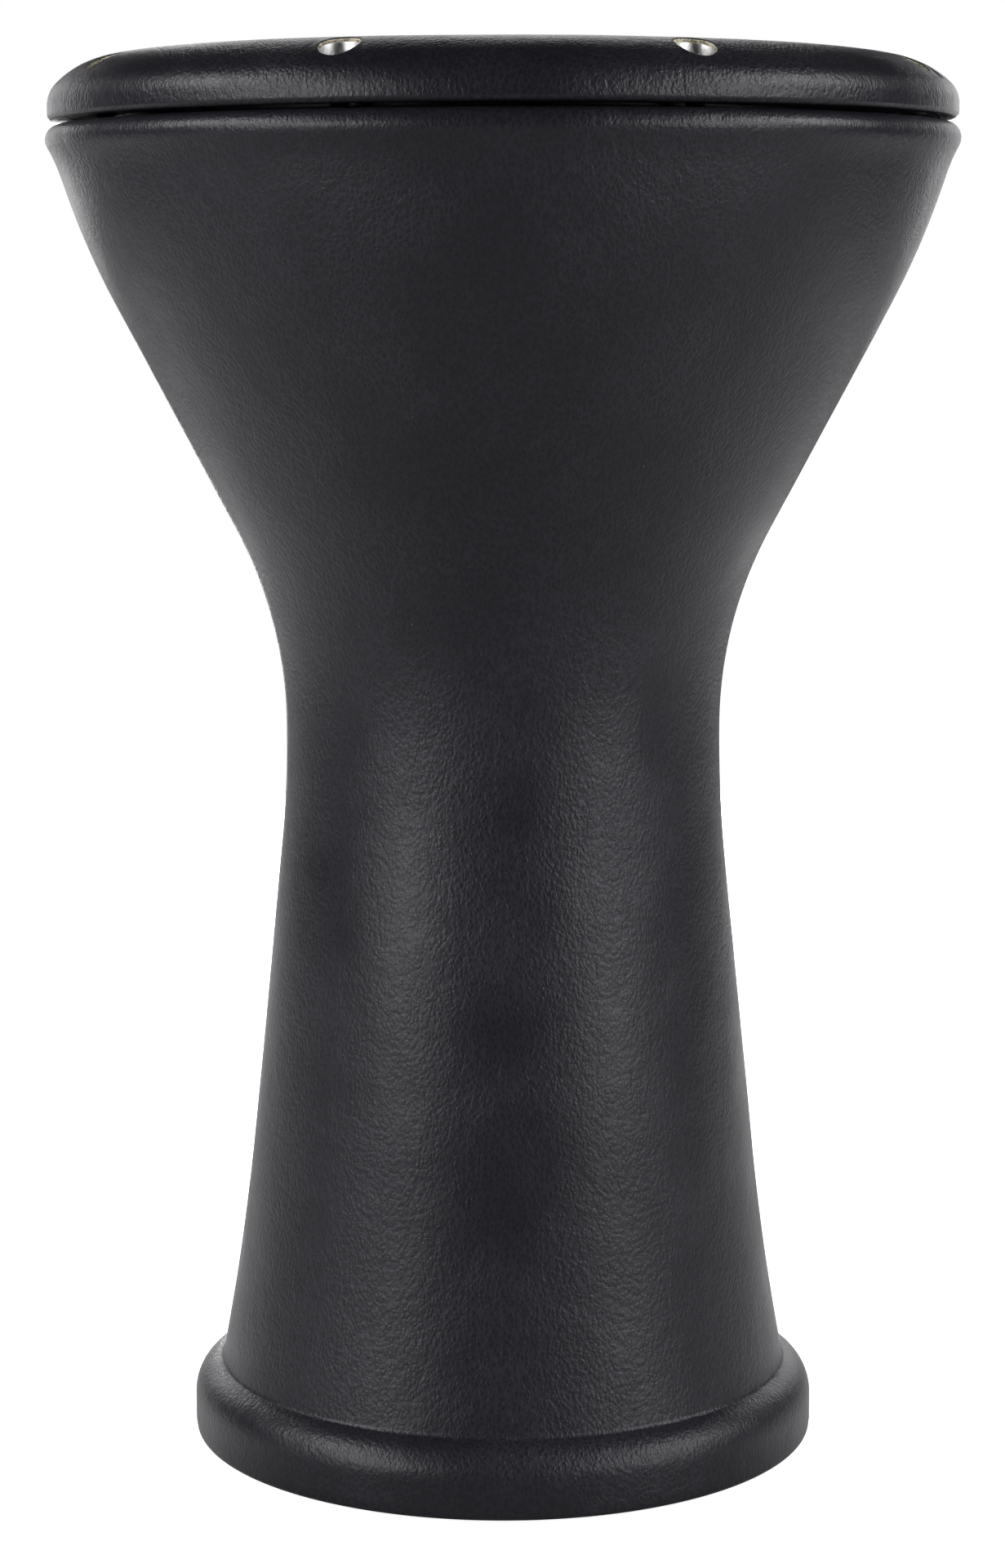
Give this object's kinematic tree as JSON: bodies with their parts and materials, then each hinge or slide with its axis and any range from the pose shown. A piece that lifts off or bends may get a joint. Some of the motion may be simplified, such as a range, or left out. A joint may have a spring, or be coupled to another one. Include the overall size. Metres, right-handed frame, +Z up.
{
  "type": "goblet drum",
  "caption": "Goblet drum (darbuka): flared foot, narrow neck, wide bowl, all in black leatherette, with a screw-down tension ring, recessed bolts and a flat film head.",
  "frame": {"origin": "on the drum's axis, on the floor that the foot stands on", "axes": "+Z up the drum's axis from the foot to the head; the side in the picture faces -Y; a bolt stands 22.5 degrees either side of -Y"},
  "size_m": [0.2802, 0.2801, 0.4329],
  "materials": {
    "cast_aluminium": "as cast, machined where parts seat",
    "leatherette": "black pebble-grain leatherette, semi-matt",
    "film": "milky translucent polyester film",
    "hoop_aluminium": "satin drawn channel",
    "steel": "bright zinc-plated steel"
  },
  "bodies": {
    "drum_shell": {"shell": "cast_aluminium", "shell_cover": "leatherette", "head_film": "film"},
    "tension_assembly": {"tension_ring": "cast_aluminium", "ring_cover": "leatherette", "head_hoop": "hoop_aluminium", "washer_1": "steel", "washer_2": "steel", "washer_3": "steel", "washer_4": "steel", "washer_5": "steel", "washer_6": "steel", "washer_7": "steel", "washer_8": "steel"},
    "bolt_1": {"tuning_bolt_1": "steel"},
    "bolt_2": {"tuning_bolt_2": "steel"},
    "bolt_3": {"tuning_bolt_3": "steel"},
    "bolt_4": {"tuning_bolt_4": "steel"},
    "bolt_5": {"tuning_bolt_5": "steel"},
    "bolt_6": {"tuning_bolt_6": "steel"},
    "bolt_7": {"tuning_bolt_7": "steel"},
    "bolt_8": {"tuning_bolt_8": "steel"}
  },
  "joints": [
    {"name": "ring_travel", "type": "slide", "parent": "drum_shell", "child": "tension_assembly", "axis": [0, 0, 1], "range_m": [-0.001, 0.002]},
    {"name": "bolt_1_turn", "type": "hinge", "parent": "tension_assembly", "child": "bolt_1", "pos_m": [0.11826, 0.04898, 0.4203], "axis": [0, 0, 1], "range_deg": [-380, 760]},
    {"name": "bolt_2_turn", "type": "hinge", "parent": "tension_assembly", "child": "bolt_2", "pos_m": [0.04898, 0.11826, 0.4203], "axis": [0, 0, 1], "range_deg": [-380, 760]},
    {"name": "bolt_3_turn", "type": "hinge", "parent": "tension_assembly", "child": "bolt_3", "pos_m": [-0.04898, 0.11826, 0.4203], "axis": [0, 0, 1], "range_deg": [-380, 760]},
    {"name": "bolt_4_turn", "type": "hinge", "parent": "tension_assembly", "child": "bolt_4", "pos_m": [-0.11826, 0.04898, 0.4203], "axis": [0, 0, 1], "range_deg": [-380, 760]},
    {"name": "bolt_5_turn", "type": "hinge", "parent": "tension_assembly", "child": "bolt_5", "pos_m": [-0.11826, -0.04898, 0.4203], "axis": [0, 0, 1], "range_deg": [-380, 760]},
    {"name": "bolt_6_turn", "type": "hinge", "parent": "tension_assembly", "child": "bolt_6", "pos_m": [-0.04898, -0.11826, 0.4203], "axis": [0, 0, 1], "range_deg": [-380, 760]},
    {"name": "bolt_7_turn", "type": "hinge", "parent": "tension_assembly", "child": "bolt_7", "pos_m": [0.04898, -0.11826, 0.4203], "axis": [0, 0, 1], "range_deg": [-380, 760]},
    {"name": "bolt_8_turn", "type": "hinge", "parent": "tension_assembly", "child": "bolt_8", "pos_m": [0.11826, -0.04898, 0.4203], "axis": [0, 0, 1], "range_deg": [-380, 760]}
  ],
  "couplings": [
    {"joint": "bolt_1_turn", "follows": "ring_travel", "rad_per_m": 6283.2},
    {"joint": "bolt_2_turn", "follows": "ring_travel", "rad_per_m": 6283.2},
    {"joint": "bolt_3_turn", "follows": "ring_travel", "rad_per_m": 6283.2},
    {"joint": "bolt_4_turn", "follows": "ring_travel", "rad_per_m": 6283.2},
    {"joint": "bolt_5_turn", "follows": "ring_travel", "rad_per_m": 6283.2},
    {"joint": "bolt_6_turn", "follows": "ring_travel", "rad_per_m": 6283.2},
    {"joint": "bolt_7_turn", "follows": "ring_travel", "rad_per_m": 6283.2},
    {"joint": "bolt_8_turn", "follows": "ring_travel", "rad_per_m": 6283.2}
  ]
}
